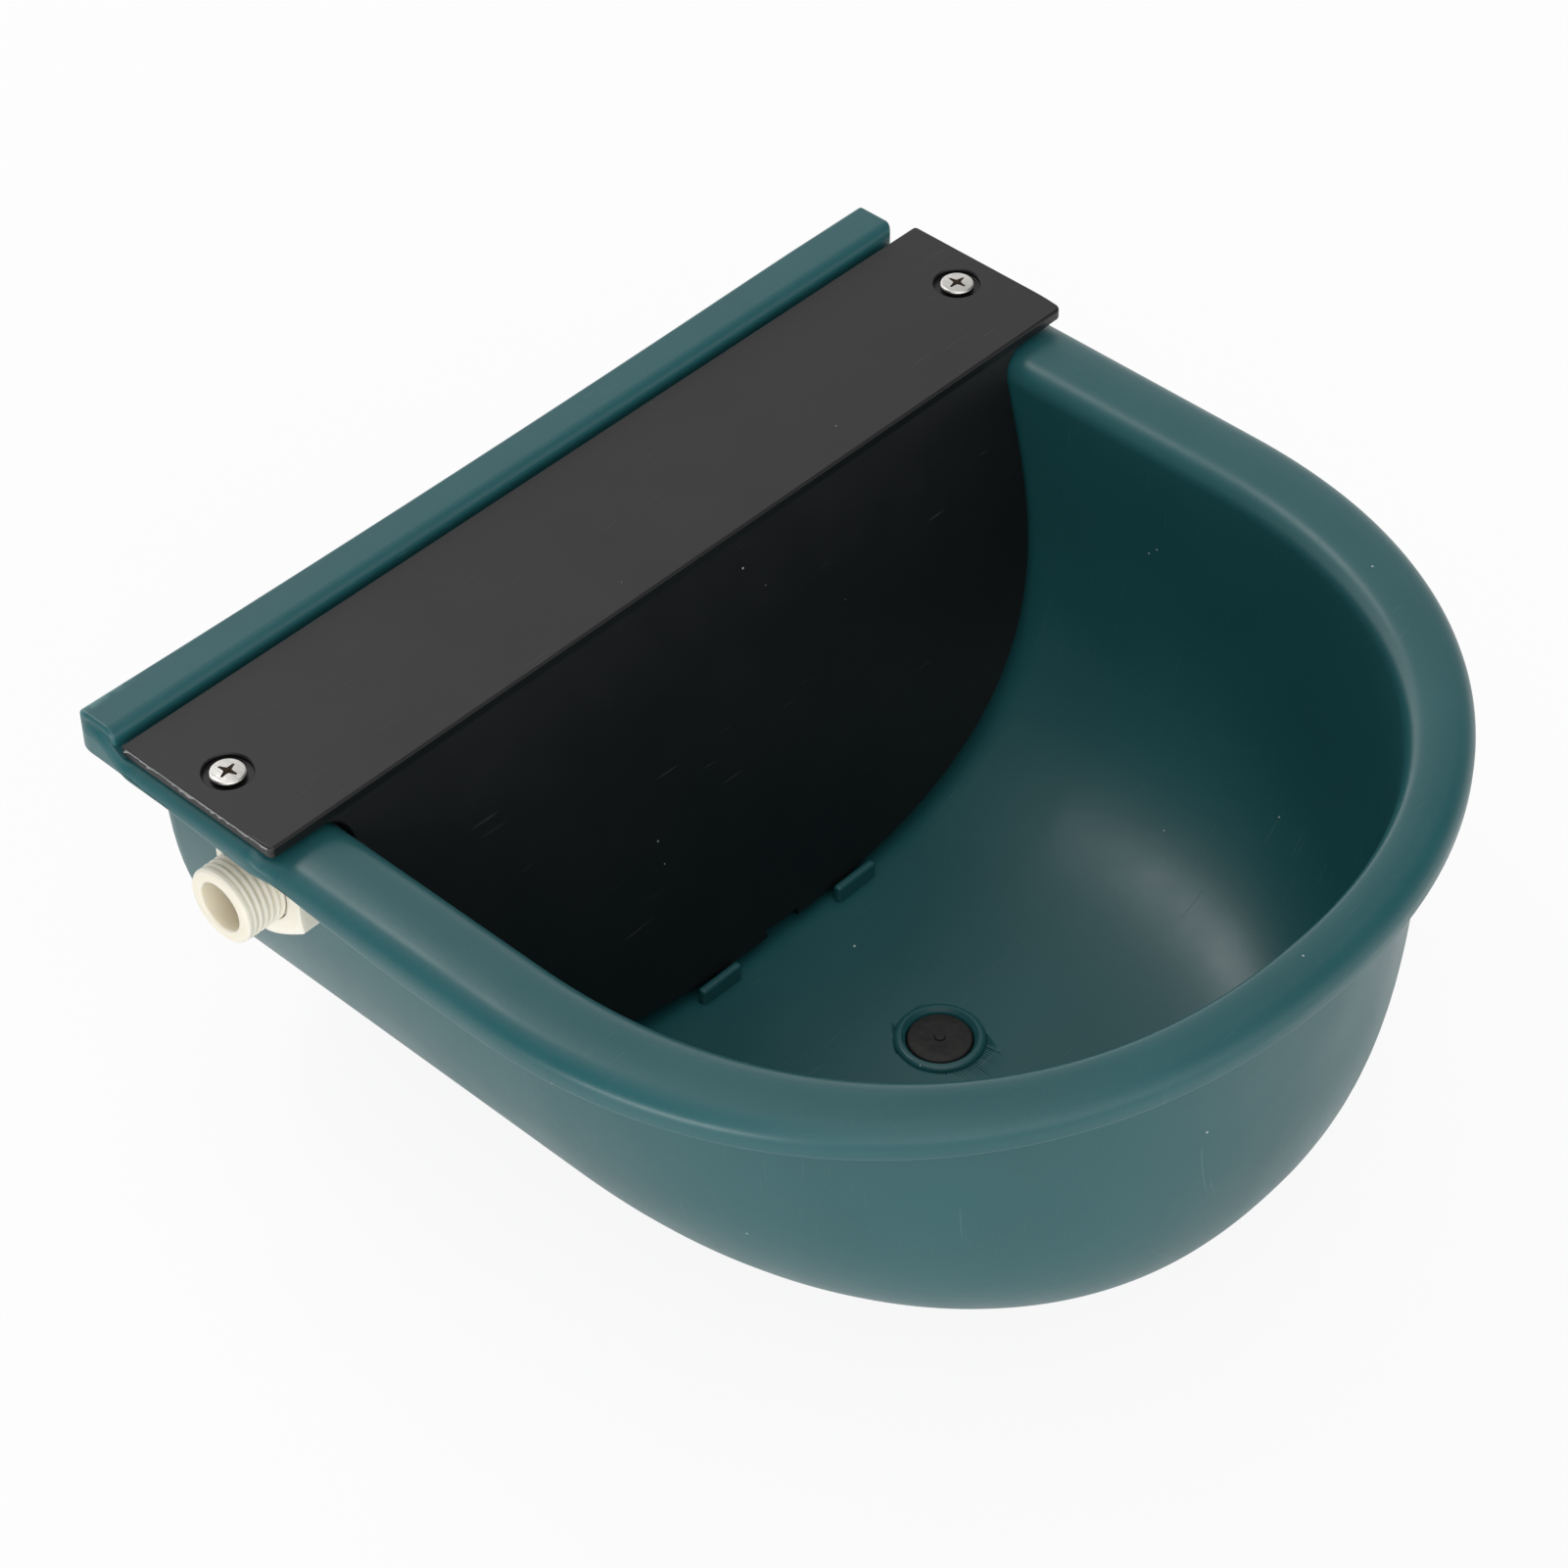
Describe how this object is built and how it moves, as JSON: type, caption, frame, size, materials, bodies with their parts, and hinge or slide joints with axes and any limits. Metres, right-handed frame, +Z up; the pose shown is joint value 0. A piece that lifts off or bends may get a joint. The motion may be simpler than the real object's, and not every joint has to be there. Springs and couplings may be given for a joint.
{
  "type": "livestock drinking bowl",
  "caption": "Wall-hung plastic drinking bowl for livestock, with a rolled rim, a float valve behind a dark cover and baffle, a threaded side inlet and a rubber drain plug.",
  "frame": {"origin": "on the wall plane at the bowl's back, midway between the two wall screw holes", "axes": "+Y into the wall that carries the bowl, so the bowl stands out towards -Y; +Z up; +X to the right of someone facing the bowl, with the inlet on the -X side"},
  "size_m": [0.2885, 0.2753, 0.1318],
  "materials": {
    "bowl_plastic": "satin dark teal, injection moulded",
    "cover_plastic": "fine matt, near black",
    "screw_nickel": "bright nickel plate",
    "valve_plastic": "natural cream, slightly see-through",
    "black_rubber": "matt",
    "stainless_steel": "turned",
    "float_plastic": "fine matt",
    "strainer_plastic": "natural white"
  },
  "bodies": {
    "housing": {"bowl": "bowl_plastic", "cover": "cover_plastic", "cover_screw_left": "screw_nickel", "cover_screw_right": "screw_nickel", "valve_body": "valve_plastic", "lock_nut": "valve_plastic", "collar_washer": "valve_plastic", "washer_inner": "black_rubber", "inlet_strainer": "strainer_plastic", "valve_seat": "stainless_steel", "hinge_pin": "stainless_steel", "pin_clip": "stainless_steel"},
    "float_arm": {"float_lever": "valve_plastic", "float_rod": "stainless_steel", "clamp_screw": "stainless_steel", "float_upper": "float_plastic", "float_lower": "float_plastic", "float_nut_near": "stainless_steel", "float_nut_far": "stainless_steel"},
    "plunger": {"valve_plunger": "valve_plastic", "seal_disc": "black_rubber"},
    "plug": {"drain_plug": "black_rubber"}
  },
  "joints": [
    {"name": "float_hinge", "type": "hinge", "parent": "housing", "child": "float_arm", "pos_m": [-0.08, -0.0502, 0.013], "axis": [0, -1, 0], "range_deg": [0, 20]},
    {"name": "plunger_slide", "type": "slide", "parent": "housing", "child": "plunger", "axis": [-1, 0, 0], "range_m": [0, 0.0031]},
    {"name": "drain_plug_pull", "type": "slide", "parent": "housing", "child": "plug", "axis": [0, 0, -1], "range_m": [0, 0.016]}
  ],
  "couplings": [
    {"joint": "plunger_slide", "follows": "float_hinge", "m_per_rad": 0.00868}
  ]
}
